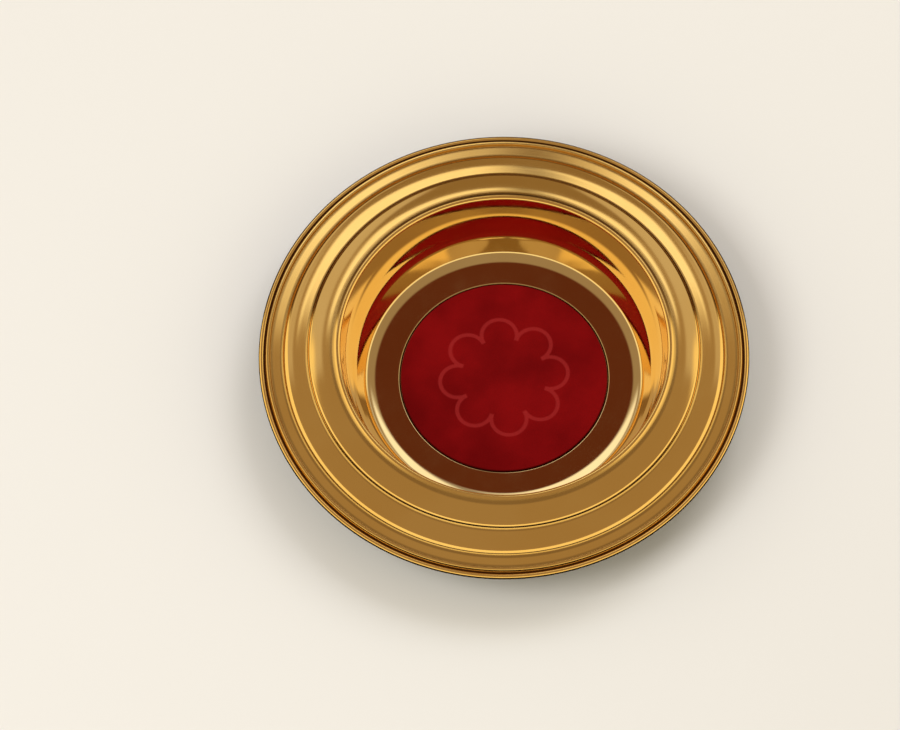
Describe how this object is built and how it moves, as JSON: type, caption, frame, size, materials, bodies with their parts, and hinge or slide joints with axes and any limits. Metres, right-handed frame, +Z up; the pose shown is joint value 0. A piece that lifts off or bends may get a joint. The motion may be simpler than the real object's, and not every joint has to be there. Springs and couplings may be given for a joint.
{
  "type": "offering plate",
  "caption": "Round brass offering plate: a deep polished bowl with a red velvet pad, and a wide stepped rim with a rolled edge.",
  "frame": {"origin": "centre of the felt's underside, on the surface that the plate rests on", "axes": "+Z up along the plate's axis of symmetry; +X and +Y are any two level directions"},
  "size_m": [0.318, 0.318, 0.0508],
  "materials": {
    "dish": "spun and lacquered brass, satin on the rim and mirror polished in the bowl",
    "wire": "plain drawn wire",
    "velvet": "deep red short-pile velvet",
    "board": "plain grey-brown board",
    "glue": "thin adhesive film",
    "felt": "pressed wool felt, dark red"
  },
  "bodies": {
    "root": {"dish": "dish", "edge_wire": "wire", "pad_velvet": "velvet", "pad_board": "board", "pad_glue": "glue", "base_felt": "felt", "base_glue": "glue"}
  },
  "joints": []
}
